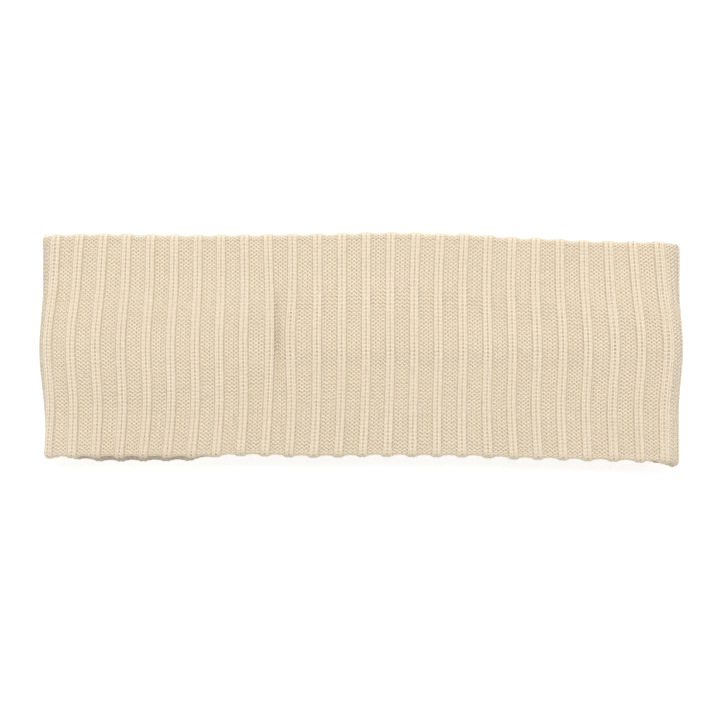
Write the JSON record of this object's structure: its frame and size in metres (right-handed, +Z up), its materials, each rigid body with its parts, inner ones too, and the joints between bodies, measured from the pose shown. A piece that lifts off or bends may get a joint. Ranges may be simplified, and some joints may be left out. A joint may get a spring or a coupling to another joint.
{
  "type": "ear warmer headband",
  "caption": "Wide doubled rib knit headband that warms the ears, a closed loop lying flat with soft folds at its sides.",
  "frame": {"origin": "middle of the band's outline, on the surface it lies on", "axes": "+X along the flat band, +Y across the knit from its lower edge to its upper edge, +Z up from the surface"},
  "size_m": [0.2518, 0.092, 0.0148],
  "materials": {
    "cream_knit": "matte soft wool rib knit, cream"
  },
  "bodies": {
    "root": {"knit_band": "cream_knit"}
  },
  "joints": []
}
